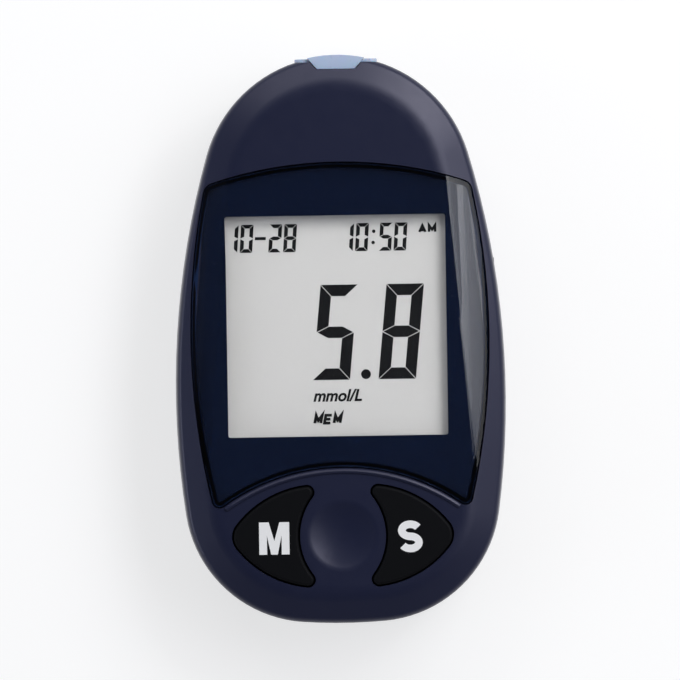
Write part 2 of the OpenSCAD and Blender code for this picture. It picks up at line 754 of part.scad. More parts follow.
module case_screws() {
    color(steel) at_posts() difference() {
        union() {
            cylinder_from(head_r, head_drop, head_drop + head_t - 0.05, 48);
            cylinder_from(shank_r, head_drop + head_t / 2, screw_tip_z, 48);
        }
        for (a = [0, 90]) rotate([0, 0, a])
            translate([-head_r * 0.65, -0.22, head_drop - cut]) cube([head_r * 1.3, 0.44, cut + 0.6]);
    }
}

module rating_label() {
    color([0.80, 0.81, 0.83]) slab(label_drop, label_drop + label_t)
        translate([0, label_y]) rounded_rect(label_w, label_h, label_r);
}

// ---------------------------------------------------------------- lens

module display_lens() {
    color([0.45, 0.55, 0.75, 0.45]) difference() {
        slab(lens_foot_z, body_t) lens_outline();
        facet_cuts();
        lens_hollow();
    }
}

module lens_mask() {
    color(dark_navy) difference() {
        lens_hollow();
        translate([0, 0, -mask_t]) lens_hollow(lens_skirt - 0.02);
        slab(0, body_t) window_2d();
        slab(0, lens_foot_z + 0.1) square(2 * body_l, center = true);
    }
}

module lens_tape() {
    color([0.2, 0.2, 0.2]) slab(lens_seat_z, lens_foot_z) difference() {
        lens_outline(tape_inset);
        lens_outline(lens_skirt - tape_inset);
    }
}

// ---------------------------------------------------------------- display

module display_plate(z, t, foot_y) {
    slab(z, z + t) translate([window_x - glass_w / 2, foot_y]) square([glass_w, glass_top_y - foot_y]);
}

module display_front_polarizer() {
    color([0.78, 0.80, 0.78]) display_plate(display_top_z - film_t, film_t, rear_glass_foot_y);
}

module display_front_glass() {
    color([0.75, 0.85, 0.85, 0.5]) display_plate(front_glass_z, glass_t, front_glass_foot_y);
}

module display_rear_glass() {
    color([0.70, 0.80, 0.80, 0.5]) display_plate(rear_glass_z, glass_t, rear_glass_foot_y);
}

module display_reflector() {
    color([0.72, 0.73, 0.72]) display_plate(reflector_z, film_t, rear_glass_foot_y);
}

module holder_rect(grow) {
    w = glass_w + 2 * glass_fit + 2 * grow;
    h = glass_top_y - front_glass_foot_y + 2 * glass_fit + 2 * grow;
    translate([window_x, (glass_top_y + front_glass_foot_y) / 2]) square([w, h], center = true);
}

module display_holder() {
    color(ivory) difference() {
        slab(board_top_z, ledge_z - 0.05) holder_rect(holder_wall);
        slab(board_top_z - cut, ledge_z + cut) holder_rect(-holder_shelf);
        slab(reflector_z, ledge_z + cut) holder_rect(0);
        slab(board_top_z - cut, ledge_z + cut)
            translate([window_x - glass_w / 2, front_glass_foot_y]) square([glass_w, ledge_h + 0.1]);
    }
}

module zebra_strip() {
    color([0.75, 0.35, 0.45]) slab(board_top_z, front_glass_z)
        translate([window_x - glass_w / 2 + 1, front_glass_foot_y + (ledge_h - zebra_t) / 2])
            square([glass_w - 2, zebra_t]);
}

// ---------------------------------------------------------------- keys

module key_body() {
    color(rubber_black) {
        slab(flange_z + flange_t / 2, key_top_z) key_2d(key_gap);
        slab(flange_z, flange_top_z) key_2d(-flange_w);
        translate([plunger_x, key_y, 0]) cylinder_from(plunger_r, plunger_z, flange_z + 0.1);
    }
}

module key_pill() {
    color([0.15, 0.15, 0.16]) translate([plunger_x, key_y, 0]) cylinder_from(pill_r, pill_z, plunger_z);
}

module s_button() { key_body(); }
module m_button() { mirror([1, 0, 0]) key_body(); }
module s_carbon_pill() { key_pill(); }
module m_carbon_pill() { mirror([1, 0, 0]) key_pill(); }

module keypad_mat() {
    color([0.30, 0.31, 0.33]) difference() {
        union() {
            slab(board_top_z, board_top_z + mat_t)
                translate([0, key_y]) rounded_rect(2 * (plunger_x + collar_r + collar_wall) + 3, mat_l, 2);
            both_sides() translate([plunger_x, key_y, 0])
                cylinder_from(collar_r + collar_wall, board_top_z, collar_top_z);
        }
        both_sides() translate([plunger_x, key_y, 0]) cylinder_from(collar_r, 0, body_t);
    }
}

module key_contact_pads() {
    teeth = 5;
    pitch = 0.8;
    color(gold) both_sides() translate([plunger_x, key_y, 0]) slab(board_top_z, board_top_z + pad_t)
        for (i = [0:teeth - 1])
            translate([(i - (teeth - 1) / 2) * pitch, 0]) square([pitch / 2, 3.6], center = true);
}

// ---------------------------------------------------------------- circuit board

module circuit_board() {
    color(board_green) slab(board_z, board_top_z) difference() {
        below_end(board_end_y) outline(wall + board_gap);
        both_sides() for (p = posts) translate([p[0], p[1]]) {
            circle(r = column_r + column_gap);
            translate([0, -column_r - column_gap]) square([body_w / 2, 2 * (column_r + column_gap)]);
        }
    }
}

// A block of the given size under the board, at c
module under_board(c, size) {
    translate([c[0], c[1], board_z - size[2] / 2]) cube(size, center = true);
}

// A chip with leads along two of its sides
module chip(c, size, leads_each_side, pitch) {
    lead = [1, 0.4, 0.4];
    color(chip_black) {
        under_board(c, size);
        for (i = [0:leads_each_side - 1], s = [-1, 1])
            under_board(c + [s * (size[0] / 2 + 0.4), (i - (leads_each_side - 1) / 2) * pitch], lead);
    }
}

module processor_chip() { chip(processor_c, [9, 9, 1.5], 10, 0.8); }
module memory_chip() { chip(memory_c, [4, 5, 1.5], 4, 1.27); }
module measuring_chip() { chip(measuring_c, [4, 8.7, 1.5], 7, 1.27); }

module crystal() {
    r = 1.5;
    length = 8;
    color(steel) translate([crystal_c[0], crystal_c[1], board_z - r])
        rotate([90, 0, 0]) cylinder(r = r, h = length, center = true);
}

module capacitors() {
    color([0.70, 0.60, 0.45])
        for (p = [
            [0.8, port_y + 7], [3.2, port_y + 7], [8.5, port_y - 4], [-17, cell_y - 5], [-13, key_y + 9.2],
            [-17, processor_c[1] - 3], measuring_c + [6, 1], measuring_c + [-6, 1]
        ])
            under_board(p, [1.2, 2, 0.9]);
}

module resistors() {
    color([0.12, 0.12, 0.13])
        for (i = [0:5]) under_board([3.2 * (i - 2.5), key_y + 9.7], [1.2, 2, 0.5]);
}

module beeper() {
    hole_r = 0.9;
    color(chip_black) translate([beeper_c[0], beeper_c[1], 0]) difference() {
        cylinder_from(beeper_r, board_z - beeper_t, board_z);
        cylinder_from(hole_r, board_z - beeper_t - cut, board_z - 1, 32);
    }
}

// ---------------------------------------------------------------- strip port

module strip_port_bezel() {
    color(port_blue) difference() {
        union() {
            port_block(0, port_top_z);
            translate([0, end_y + port_plate_t, port_plate_z + port_plate_h / 2]) rotate([90, 0, 0])
                linear_extrude(port_plate_t) rounded_rect(port_plate_w, port_plate_h, 1.5);
        }
        translate([-slot_w / 2, port_back_y - cut, slot_z - slot_h / 2])
            cube([slot_w, body_l, slot_h]);
        translate([-slot_w / 2 - 0.5, 0, 0]) rotate([90, 0, 90]) linear_extrude(slot_w + 1)
            polygon([
                [end_y - 1, slot_z - slot_h / 2], [end_y + 2, slot_z - mouth_h / 2 - 0.9],
                [end_y + 2, slot_z + mouth_h / 2 + 0.9], [end_y - 1, slot_z + slot_h / 2]
            ]);
    }
}

module contact_profile() {
    back = board_end_y - connector_l;
    metal_t = 0.4;
    crest_z = slot_z - slot_h / 2 + 0.1;
    polygon([
        [back - 2.5, board_top_z], [back + 6, board_top_z], [back + 7, crest_z],
        [back + 5, crest_z], [back + 4.2, board_top_z + metal_t], [back - 2.5, board_top_z + metal_t]
    ]);
}

module strip_connector() {
    groove_w = contact_w + 0.3;
    color(ivory) difference() {
        translate([-connector_w / 2, board_end_y - connector_l, board_top_z])
            cube([connector_w, connector_l, connector_h]);
        translate([-slot_w / 2, board_end_y - connector_l + connector_wall, slot_z - slot_h / 2])
            cube([slot_w, connector_l, slot_h]);
        for (x = strip_lines)
            translate([x - groove_w / 2, board_end_y - connector_l - cut, board_top_z - cut])
                cube([groove_w, connector_l, slot_z - board_top_z + cut]);
    }
}

module strip_contacts() {
    color(gold) for (x = strip_lines)
        translate([x - contact_w / 2, 0, 0]) rotate([90, 0, 90]) linear_extrude(contact_w) contact_profile();
}

// ---------------------------------------------------------------- battery

module coin_cell() {
    cap_t = 0.4;
    color(steel) translate([0, cell_y, 0]) {
        cylinder_from(cell_r, cell_z, cell_z + cell_t - cap_t);
        cylinder_from(cell_r - 1.1, cell_z + cell_t - cap_t - 0.05, cell_z + cell_t);
    }
}

module battery_minus_contact() {
    cell_top = cell_z + cell_t;
    color(steel) translate([0, cell_y + 2, 0]) rotate([90, 0, 0]) linear_extrude(4) polygon([
        [-7.4, board_z], [-7.8, board_z], [-7.8, cell_top + 1.2], [0, cell_top + 0.05],
        [1.2, cell_top + 0.3], [1.2, cell_top + 0.6], [0, cell_top + 0.35], [-7.4, cell_top + 1.5]
    ]);
}

module battery_plus_contact() {
    color(steel) translate([cell_r + 0.15, cell_y - 2.4, cell_z + 0.6])
        cube([0.35, 4.8, board_z - cell_z - 0.6]);
}

module battery_door() {
    ribs = 5;
    color(navy) difference() {
        union() {
            slab(door_z, door_z + door_t) intersection() {
                door_plan();
                translate([-body_w / 2, hinge_y - body_l]) square([body_w, body_l]);
            }
            translate([-door_w / 2, hinge_y, hinge_z]) rotate([0, 90, 0]) {
                cylinder(r = barrel_r, h = door_w);
                translate([0, 0, -pin_l]) cylinder(r = pin_r, h = door_w + 2 * pin_l);
            }
        }
        // grip grooves and the fingernail notch
        for (i = [0:ribs - 1]) translate([-5, hinge_y - door_l + 3 + 1.3 * i, door_z - cut])
            cube([10, 0.6, cut + 0.35]);
        translate([0, hinge_y - door_l, door_z - 1.2]) rotate([0, 90, 0])
            cylinder(r = 1.8, h = 6, center = true);
    }
}

// ---------------------------------------------------------------- side ports

module code_chip() {
    color([0.16, 0.17, 0.27]) difference() {
        intersection() {
            translate([-body_w, port_y - chip_w / 2, chip_z - chip_t / 2])
                cube([body_w - chip_end_x + chip_l, chip_w, chip_t]);
            slab(0, body_t) outline(0.35);
        }
        for (i = [-1:1]) translate([-chip_end_x - 1, port_y + 2.6 * i, chip_z - chip_t])
            cube([1.6, 0.8, 2 * chip_t]);
        translate([-chip_end_x + chip_l - 5, port_y - chip_w / 2 + 1.4, chip_z + chip_t / 2 - 0.3])
            cube([6, chip_w - 2.8, 1]);
    }
}

module code_chip_contacts() {
    color(gold) for (i = [0:3])
        translate([-chip_end_x + chip_l - 4.6, port_y + (i - 1.5) * 2.2 - 0.6, chip_z + chip_t / 2 - 0.3])
            cube([4.2, 1.2, 0.15]);
}

module code_chip_socket() {
    mouth_x = -chip_end_x + chip_l - 4.4;
    w = chip_w + 2 * chip_gap + 2 * socket_wall;
    foot = chip_z - chip_t / 2 - chip_gap - socket_wall;
    color(ivory) difference() {
        translate([mouth_x, port_y - w / 2, foot]) cube([socket_l, w, board_z - foot]);
        translate([mouth_x - cut, port_y - chip_w / 2 - chip_gap, chip_z - chip_t / 2 - chip_gap])
            cube([4.7 + cut, chip_w + 2 * chip_gap, chip_t + 2 * chip_gap]);
    }
}

module code_socket_contacts() {
    x0 = -chip_end_x + chip_l - 4.4 + socket_l;
    color(gold) for (i = [0:3])
        translate([x0, port_y + (i - 1.5) * 2.2 - 0.4, board_z - 0.4]) cube([1.6, 0.8, 0.4]);
}

module data_jack() {
    house_l = jack_depth + 1.6 - (jack_end_x - jack_house_x);
    color(chip_black) difference() {
        union() {
            translate([jack_house_x - house_l, port_y - jack_w / 2, jack_z - 3])
                cube([house_l, jack_w, board_z - jack_z + 3]);
            translate([jack_house_x - 1, port_y, jack_z]) rotate([0, 90, 0])
                cylinder(r = jack_nose_r, h = jack_end_x - jack_house_x + 1);
        }
        translate([jack_end_x - jack_depth, port_y, jack_z]) rotate([0, 90, 0])
            cylinder(r = jack_bore_r, h = jack_depth + cut);
    }
}

module data_jack_springs() {
    x0 = jack_end_x - jack_depth - 1.6;
    color(gold) for (s = [-1, 1])
        translate([x0 + 2, port_y + s * (jack_w / 2 + 0.5) - 0.5, board_z - 0.4]) cube([2.4, 1, 0.4]);
}

// ---------------------------------------------------------------- nodes

front_shell();
rear_shell();
display_lens();
lens_mask();
lens_tape();
strip_port_bezel();
m_button();
s_button();
m_carbon_pill();
s_carbon_pill();
keypad_mat();
circuit_board();
key_contact_pads();
display_holder();
display_front_polarizer();
display_front_glass();
display_rear_glass();
display_reflector();
zebra_strip();
processor_chip();
memory_chip();
measuring_chip();
crystal();
capacitors();
resistors();
beeper();
strip_connector();
strip_contacts();
coin_cell();
battery_plus_contact();
battery_minus_contact();
battery_door();
code_chip();
code_chip_contacts();
code_chip_socket();
code_socket_contacts();
data_jack();
data_jack_springs();
case_screws();
rating_label();
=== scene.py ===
import json
import math

import bmesh
import bpy
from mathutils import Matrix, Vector


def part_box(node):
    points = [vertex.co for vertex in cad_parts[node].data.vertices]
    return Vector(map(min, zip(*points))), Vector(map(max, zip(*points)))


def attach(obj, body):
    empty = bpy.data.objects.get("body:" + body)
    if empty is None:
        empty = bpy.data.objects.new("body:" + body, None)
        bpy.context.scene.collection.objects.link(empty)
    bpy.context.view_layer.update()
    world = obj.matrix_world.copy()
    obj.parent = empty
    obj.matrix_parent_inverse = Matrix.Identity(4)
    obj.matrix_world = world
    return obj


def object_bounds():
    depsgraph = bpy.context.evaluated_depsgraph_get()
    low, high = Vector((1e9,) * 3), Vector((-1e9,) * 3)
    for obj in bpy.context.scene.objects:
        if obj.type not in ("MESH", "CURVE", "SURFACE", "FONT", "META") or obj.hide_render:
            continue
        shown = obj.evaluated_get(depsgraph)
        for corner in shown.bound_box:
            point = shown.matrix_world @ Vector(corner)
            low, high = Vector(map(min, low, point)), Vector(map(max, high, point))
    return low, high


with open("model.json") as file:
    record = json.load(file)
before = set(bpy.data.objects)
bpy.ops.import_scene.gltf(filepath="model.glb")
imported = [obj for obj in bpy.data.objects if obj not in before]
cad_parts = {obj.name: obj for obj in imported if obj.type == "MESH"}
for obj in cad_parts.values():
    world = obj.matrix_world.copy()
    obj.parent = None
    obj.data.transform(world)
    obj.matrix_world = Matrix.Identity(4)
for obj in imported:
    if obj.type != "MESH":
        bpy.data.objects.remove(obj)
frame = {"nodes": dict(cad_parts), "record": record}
cad_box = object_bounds()
nodes = frame["nodes"]
scene = bpy.context.scene
MM = 0.001


def lowest(node):
    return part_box(node)[0]


def highest(node):
    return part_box(node)[1]


def middle_y(node):
    """Where a node's middle lies along the meter, in millimetres."""
    return (lowest(node).y + highest(node).y) / 2 / MM


# ------------------------------------------------------------------ materials

def new_material(name):
    material = bpy.data.materials.new(name)
    material.use_nodes = True
    tree = material.node_tree
    return material, tree, tree.nodes["Principled BSDF"]


def add_node(tree, kind, **values):
    """A node whose named sockets are set to values."""
    node = tree.nodes.new(kind)
    for key, value in values.items():
        node.inputs[key.replace("_", " ")].default_value = value
    return node


def object_coordinates(tree, stretch=(1, 1, 1)):
    """The piece's own coordinates in metres, stretched for brushed or drawn surfaces."""
    place = tree.nodes.new("ShaderNodeTexCoord")
    mapping = add_node(tree, "ShaderNodeMapping", Scale=stretch)
    tree.links.new(place.outputs["Object"], mapping.inputs["Vector"])
    return mapping.outputs["Vector"]


def noise(tree, vector, size, detail=3.0):
    """Noise whose blotches measure about size, in millimetres."""
    texture = add_node(tree, "ShaderNodeTexNoise", Scale=1 / (size * MM), Detail=detail)
    tree.links.new(vector, texture.inputs["Vector"])
    return texture.outputs["Fac"]


def spread(tree, value, low, high):
    """The noise value turned into a number between about low and high."""
    ramp = add_node(tree, "ShaderNodeMapRange", From_Min=0.3, From_Max=0.7, To_Min=low, To_Max=high)
    tree.links.new(value, ramp.inputs["Value"])
    return ramp.outputs["Result"]


def blend_colors(tree, value, color_a, color_b):
    """A colour between color_a and color_b, by the noise value."""
    mix = tree.nodes.new("ShaderNodeMix")
    mix.data_type = "RGBA"
    mix.inputs[6].default_value = (*color_a, 1)
    mix.inputs[7].default_value = (*color_b, 1)
    tree.links.new(value, mix.inputs[0])
    return mix.outputs[2]


def bump(tree, shader, height, strength, depth):
    """Bumps of the given depth, in millimetres."""
    node = add_node(tree, "ShaderNodeBump", Strength=strength, Distance=depth * MM)
    tree.links.new(height, node.inputs["Height"])
    tree.links.new(node.outputs["Normal"], shader.inputs["Normal"])


CLOUD_SIZE = 14                       # sizes of the patches in materials, in millimetres
GLOSS_PATCH = 2.2
TARNISH_PATCH = 4
RIPPLE_SIZE = 22
POLISH_MARK = 0.6


def moulded(name, color, roughness, grain=0.25, depth=0.012, tone=0.10, stretch=(1, 1, 1),
            **shader_values):
    """Moulded plastic, rubber, resin or film: faint cloudiness, uneven gloss and a fine grain.

    grain and depth are the grain's size and depth in millimetres, and tone is how far the
    cloudiness darkens and lightens the colour."""
    material, tree, shader = new_material(name)
    vector = object_coordinates(tree, stretch)
    clouds = noise(tree, vector, CLOUD_SIZE, 4)
    dark = [channel * (1 - tone) for channel in color]
    light = [min(1, channel * (1 + tone)) for channel in color]
    tree.links.new(blend_colors(tree, clouds, dark, light), shader.inputs["Base Color"])
    gloss = noise(tree, vector, GLOSS_PATCH, 5)
    tree.links.new(spread(tree, gloss, roughness * 0.95, roughness * 1.05), shader.inputs["Roughness"])
    bump(tree, shader, noise(tree, vector, grain, 2), 0.35, depth)
    for key, value in shader_values.items():
        shader.inputs[key.replace("_", " ")].default_value = value
    return material


def metal(name, color, roughness, stretch=(1, 1, 1), grain=0.3):
    """Metal with drawn lines and a little tarnish."""
    material, tree, shader = new_material(name)
    vector = object_coordinates(tree, stretch)
    tarnish = noise(tree, object_coordinates(tree), TARNISH_PATCH, 5)
    dull = [channel * 0.72 for channel in color]
    tree.links.new(blend_colors(tree, tarnish, dull, color), shader.inputs["Base Color"])
    lines = noise(tree, vector, grain, 4)
    tree.links.new(spread(tree, lines, roughness * 0.7, roughness * 1.3), shader.inputs["Roughness"])
    bump(tree, shader, lines, 0.25, 0.008)
    shader.inputs["Metallic"].default_value = 1
    return material


def let_lamps_through(tree, shader, tint):
    """Rays from lamps pass the piece, so that what lies behind it is lit."""
    path = tree.nodes.new("ShaderNodeLightPath")
    passing = add_node(tree, "ShaderNodeBsdfTransparent", Color=(*tint, 1))
    mix = tree.nodes.new("ShaderNodeMixShader")
    tree.links.new(path.outputs["Is Shadow Ray"], mix.inputs["Fac"])
    tree.links.new(shader.outputs["BSDF"], mix.inputs[1])
    tree.links.new(passing.outputs["BSDF"], mix.inputs[2])
    tree.links.new(mix.outputs["Shader"], tree.nodes["Material Output"].inputs["Surface"])


def clear(name, tint, roughness=0.02, ior=1.46):
    """Polished clear plastic or glass with hairline polishing marks."""
    material, tree, shader = new_material(name)
    vector = object_coordinates(tree, (1, 9, 1))
    tree.links.new(spread(tree, noise(tree, vector, POLISH_MARK, 5), roughness * 0.5, roughness * 1.6),
                   shader.inputs["Roughness"])
    ripple = noise(tree, object_coordinates(tree), RIPPLE_SIZE, 1)
    bump(tree, shader, ripple, 0.2, 0.01)
    shader.inputs["Base Color"].default_value = (*tint, 1)
    shader.inputs["IOR"].default_value = ior
    shader.inputs["Transmission Weight"].default_value = 1
    let_lamps_through(tree, shader, tint)
    return material


def circuit_green():
    """Solder mask over copper lines, which lie in a pattern of bricks."""
    brick = 9 * MM
    material, tree, shader = new_material("circuit_green")
    vector = object_coordinates(tree)
    tracks = add_node(tree, "ShaderNodeTexBrick", Scale=1 / brick, Mortar_Size=0.03)
    tracks.inputs["Color1"].default_value = (0.008, 0.075, 0.028, 1)
    tracks.inputs["Color2"].default_value = (0.010, 0.090, 0.034, 1)
    tracks.inputs["Mortar"].default_value = (0.022, 0.160, 0.060, 1)
    tree.links.new(vector, tracks.inputs["Vector"])
    tree.links.new(tracks.outputs["Color"], shader.inputs["Base Color"])
    tree.links.new(spread(tree, noise(tree, vector, 2), 0.25, 0.42), shader.inputs["Roughness"])
    bump(tree, shader, tracks.outputs["Fac"], 0.4, 0.03)
    return material


NAVY = (0.0118, 0.0150, 0.0400)
MATERIALS = {
    "case": moulded("case_navy", NAVY, 0.36, 0.22, 0.008, 0.05, Specular_Tint=(0.86, 0.84, 1, 1)),
    "lens": clear("lens_clear", (0.985, 0.985, 0.985)),
    "mask": moulded("mask_navy", (0.0026, 0.0062, 0.0205), 0.30, 0.15, 0.004, 0.05,
                    Specular_IOR_Level=0.05),
    "tape": moulded("tape_black", (0.020, 0.020, 0.021), 0.75, 0.2, 0.02),
    "port_blue": moulded("port_blue", (0.50, 0.61, 0.80), 0.28, 0.5, 0.006, 0.05,
                         Subsurface_Weight=0.25, Subsurface_Scale=0.002, Coat_Weight=0.4),
    "key_rubber": moulded("key_rubber", (0.0030, 0.0033, 0.0045), 0.6, 0.16, 0.012, 0.15,
                          Specular_IOR_Level=0.1),
    "carbon": moulded("carbon", (0.008, 0.008, 0.008), 0.7, 0.1, 0.02),
    "mat_rubber": moulded("mat_rubber", (0.07, 0.072, 0.08), 0.6, 0.2, 0.015),
    "board": circuit_green(),
    "gold": metal("gold_plate", (0.86, 0.60, 0.24), 0.24, (8, 1, 1)),
    "holder_plastic": moulded("ivory_plastic", (0.66, 0.63, 0.54), 0.45),
    "display_film": moulded("display_face", (0.60, 0.594, 0.578), 0.45, 0.12, 0.003, 0.012,
                            Specular_IOR_Level=0.2),
    "display_glass": clear("display_glass", (0.93, 0.97, 0.95), 0.03, 1.5),
    "reflector_film": moulded("reflector_film", (0.56, 0.57, 0.56), 0.35, 0.1, 0.004, 0.03),
    "zebra_rubber": moulded("zebra_rubber", (0.42, 0.10, 0.16), 0.6, 0.3, 0.02, 0.4,
                            (14, 1, 1)),
    "chip_resin": moulded("chip_resin", (0.016, 0.016, 0.018), 0.55, 0.12, 0.02),
    "steel": metal("nickel_steel", (0.66, 0.66, 0.68), 0.26, (1, 12, 1)),
    "capacitor_ceramic": moulded("capacitor_ceramic", (0.42, 0.30, 0.17), 0.4, 0.2, 0.01),
    "chip_case": moulded("chip_navy", (0.016, 0.019, 0.044), 0.42, 0.2, 0.012, 0.08),
    "jack_plastic": moulded("jack_black", (0.010, 0.010, 0.011), 0.38),
    "screw_steel": metal("screw_steel", (0.52, 0.52, 0.54), 0.34, (1, 1, 1), 0.15),
    "label": moulded("label_silver", (0.50, 0.51, 0.53), 0.32, 0.3, 0.006, 0.04, (1, 6, 1)),
}
LEGEND_WHITE = moulded("legend_white", (0.97, 0.97, 0.97), 0.5, 0.1, 0.006, 0.03)
SEGMENT_INK = moulded("segment_ink", (0.0055, 0.0058, 0.0065), 0.5, 0.1, 0.002, 0.06,
                      Specular_IOR_Level=0.1)
# navy print for the lens's skirt, painted about four times lighter than the mask's navy: painted light
# that stands in for the light that the skirt's deep, dark-walled well doesn't get
SKIRT_PRINT_PAINTED_LIGHT = moulded("skirt_print_painted_light", (0.011, 0.026, 0.080), 0.4, 0.15, 0.004, 0.05,
                      Specular_IOR_Level=0.1)


# ------------------------------------------------------------------ CAD pieces

SHARP_ANGLE = 32                      # the least angle, in degrees, of an edge that is rounded
FLAT_ANGLE = 0.6                      # the most, between faces that are joined into one
WELD_DISTANCE = 0.002 * MM


def add_modifier(piece, kind, **values):
    modifier = piece.modifiers.new(kind.lower(), kind)
    for key, value in values.items():
        setattr(modifier, key, value)


def finish_edges(piece, width, segments):
    """Welds a piece's faces together, rounds its sharp edges and shades its curves smoothly."""
    mesh = piece.data
    if "custom_normal" in mesh.attributes:
        mesh.attributes.remove(mesh.attributes["custom_normal"])
    mesh.shade_smooth()
    add_modifier(piece, "WELD", merge_threshold=WELD_DISTANCE)
    add_modifier(piece, "DECIMATE", decimate_type="DISSOLVE",
                 angle_limit=math.radians(FLAT_ANGLE), delimit={"MATERIAL"})
    add_modifier(piece, "BEVEL", width=width * MM, segments=segments, limit_method="ANGLE",
                 angle_limit=math.radians(SHARP_ANGLE), use_clamp_overlap=True,
                 miter_outer="MITER_ARC")
    add_modifier(piece, "WEIGHTED_NORMAL", keep_sharp=True, weight=80)


EDGE_WIDTHS = {                       # rounding of each node's edges, in millimetres
    "front_shell": 0.14, "rear_shell": 0.14, "display_lens": 0.16, "strip_port_bezel": 0.12,
    "m_button": 0.55, "s_button": 0.55, "battery_door": 0.12, "code_chip": 0.15,
}
SMALL_EDGE = 0.04                     # rounding of the other nodes' edges
for subpart in frame["record"]["subparts"]:
    name = subpart["node"]
    node = nodes[name]
    node.data.materials.clear()
    node.data.materials.append(MATERIALS[subpart["material_slot"]])
    finish_edges(node, EDGE_WIDTHS.get(name, SMALL_EDGE), 4 if name.endswith("button") else 2)


def paint_lens():
    """The print covers the lens's skirt: its foot and its upright faces, inside and outside. Its navy
    is painted lighter than the mask's navy, as painted light where the skirt's narrow, deep well lies
    in shade.
    """
    mesh = nodes["display_lens"].data
    mesh.materials.append(SKIRT_PRINT_PAINTED_LIGHT)
    foot_top = lowest("display_lens").z + 0.1 * MM
    steep = 0.5                       # the most that an upright face's normal points up or down
    for face in mesh.polygons:
        upright = abs(face.normal.z) < steep
        foot = face.normal.z < -steep and face.center.z < foot_top
        # these faces take the skirt print, whose lighter navy is painted light for the shaded well
        if upright or foot:
            face.material_index = 1


def shrink(node, depth):
    """Draws a node's faces in by depth, in millimetres, off the faces that they touch."""
    add_modifier(nodes[node], "DISPLACE", strength=-depth * MM, mid_level=0)


paint_lens()
shrink("lens_mask", 0.01)


# ------------------------------------------------------------------ display

def add_piece(name, mesh, material, body):
    """A piece of one mesh and one material, which rides on a body."""
    mesh.materials.clear()
    mesh.materials.append(material)
    piece = bpy.data.objects.new(name, mesh)
    scene.collection.objects.link(piece)
    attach(piece, body)


def flat_piece(name, outlines, z, thickness, material, body):
    """One piece made of flat plates, each outline a list of x, y points in millimetres."""
    grid = bmesh.new()
    for outline in outlines:
        lower = [grid.verts.new((x * MM, y * MM, z)) for x, y in outline]
        upper = [grid.verts.new((x * MM, y * MM, z + thickness * MM)) for x, y in outline]
        grid.faces.new(lower[::-1])
        grid.faces.new(upper)
        for i in range(len(outline)):
            j = (i + 1) % len(outline)
            grid.faces.new((lower[i], lower[j], upper[j], upper[i]))
    mesh = bpy.data.meshes.new(name)
    grid.to_mesh(mesh)
    grid.free()
    add_piece(name, mesh, material, body)


SEGMENTS = {"0": "abcdef", "1": "bc", "2": "abged", "5": "afgcd", "8": "abcdefg"}
BIG_DIGIT = {"width": 7.2, "height": 18.3, "thick": 2.2, "gap": 0.09, "slant": 0.10}
SMALL_DIGIT = {"width": 2.4, "height": 5.4, "thick": 0.72, "gap": 0.06, "slant": 0.07}
SMALL_PITCH = 2.85                    # from one small digit to the next
COLON_PITCH = 0.6 * SMALL_PITCH
DASH_PITCH = 0.93 * SMALL_PITCH


def digit(character, x, y, width, height, thick, gap, slant):
    """A seven-segment digit with its lower left corner at x, y, leaning to the right."""
    w, h, t, m = width, height, thick, height / 2
    shapes = {
        "a": [(gap, h), (t + gap, h - t), (w - t - gap, h - t), (w - gap, h)],
        "b": [(w, m + gap), (w, h - gap), (w - t, h - t - gap), (w - t, m + t / 2 + gap)],
        "c": [(w, gap), (w, m - gap), (w - t, m - t / 2 - gap), (w - t, t + gap)],
        "d": [(gap, 0), (w - gap, 0), (w - t - gap, t), (t + gap, t)],
        "e": [(0, m - gap), (0, gap), (t, t + gap), (t, m - t / 2 - gap)],
        "f": [(0, h - gap), (0, m + gap), (t, m + t / 2 + gap), (t, h - t - gap)],
        "g": [(2 * gap, m), (t + gap, m - t / 2), (w - t - gap, m - t / 2),
              (w - 2 * gap, m), (w - t - gap, m + t / 2), (t + gap, m + t / 2)],
    }
    return [[(x + u + slant * v, y + v) for u, v in shapes[segment]]
            for segment in SEGMENTS[character]]


def disc(x, y, radius, points=24):
    """The outline of a round dot."""
    turns = [2 * math.pi * i / points for i in range(points)]
    return [(x + radius * math.cos(turn), y + radius * math.sin(turn)) for turn in turns]


def small_number(text, x, y):
    """Small digits and marks in a row, the first with its lower left corner at x, y."""
    height, slant = SMALL_DIGIT["height"], SMALL_DIGIT["slant"]
    dot_radius, dot_inset = 0.34, 0.55
    dash_half, dash_left, dash_right, dash_lean = 0.3, 0.1, 2.2, 0.05
    outlines = []
    for character in text:
        if character == ":":
            outlines += [disc(x + slant * height * s + dot_inset, y + height * s, dot_radius)
                         for s in (0.3, 0.7)]
            x += COLON_PITCH
        elif character == "-":
            low, high = y + height / 2 - dash_half, y + height / 2 + dash_half
            outlines.append([(x + dash_left, low), (x + dash_right, low),
                             (x + dash_right + dash_lean, high), (x + dash_left + dash_lean, high)])
            x += DASH_PITCH
        else:
            outlines += digit(character, x, y, **SMALL_DIGIT)
            x += SMALL_PITCH
    return outlines


def lettering(name, text, left, foot, width, height, z, thickness, slant, material, body):
    """Flat letters fitted to a box, in millimetres."""
    curve = bpy.data.curves.new(name + "_curve", "FONT")
    curve.body = text
    curve.extrude = 0.02
    curve.shear = slant
    curve.offset = 0.03               # makes the strokes bolder
    writing = bpy.data.objects.new(name + "_writing", curve)
    scene.collection.objects.link(writing)
    bpy.context.view_layer.update()
    depsgraph = bpy.context.evaluated_depsgraph_get()
    mesh = bpy.data.meshes.new_from_object(writing.evaluated_get(depsgraph))
    bpy.data.objects.remove(writing)
    low = [min(v.co[i] for v in mesh.vertices) for i in range(3)]
    high = [max(v.co[i] for v in mesh.vertices) for i in range(3)]
    size = (width, height, thickness)
    corner = (left * MM, foot * MM, z)
    for v in mesh.vertices:
        for i in range(3):
            v.co[i] = corner[i] + (v.co[i] - low[i]) / (high[i] - low[i]) * size[i] * MM
    mesh.name = name
    add_piece(name, mesh, material, body)


